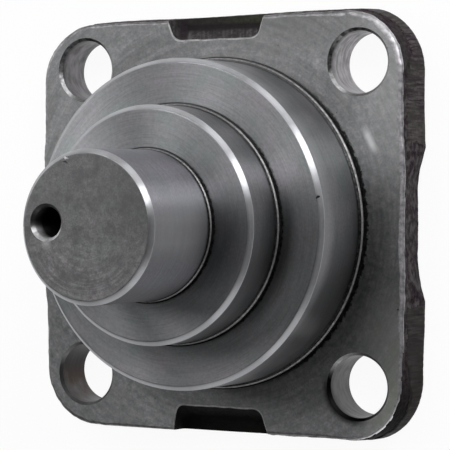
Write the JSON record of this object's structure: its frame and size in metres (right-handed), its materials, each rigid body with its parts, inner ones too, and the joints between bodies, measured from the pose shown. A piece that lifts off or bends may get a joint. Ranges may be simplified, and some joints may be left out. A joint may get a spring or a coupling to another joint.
{
  "type": "king pin",
  "caption": "Flanged steel king pin: a square bolt flange with lever notches carries a pilot spigot, a shoulder and a round journal for a steering swivel.",
  "frame": {"origin": "centre of the flange's back face, on the pin's axis", "axes": "+Z along the pin, from the flange's back face to the pin's end; +X and +Y along the flange's sides; the hole in the pin's end lies towards -X and the lever notches lie at +Y and -Y"},
  "size_m": [0.1172, 0.1172, 0.079],
  "materials": {
    "steel": "turned and faced bare steel, with the flange's sides left dark as forged"
  },
  "bodies": {
    "root": {"king_pin": "steel"}
  },
  "joints": []
}
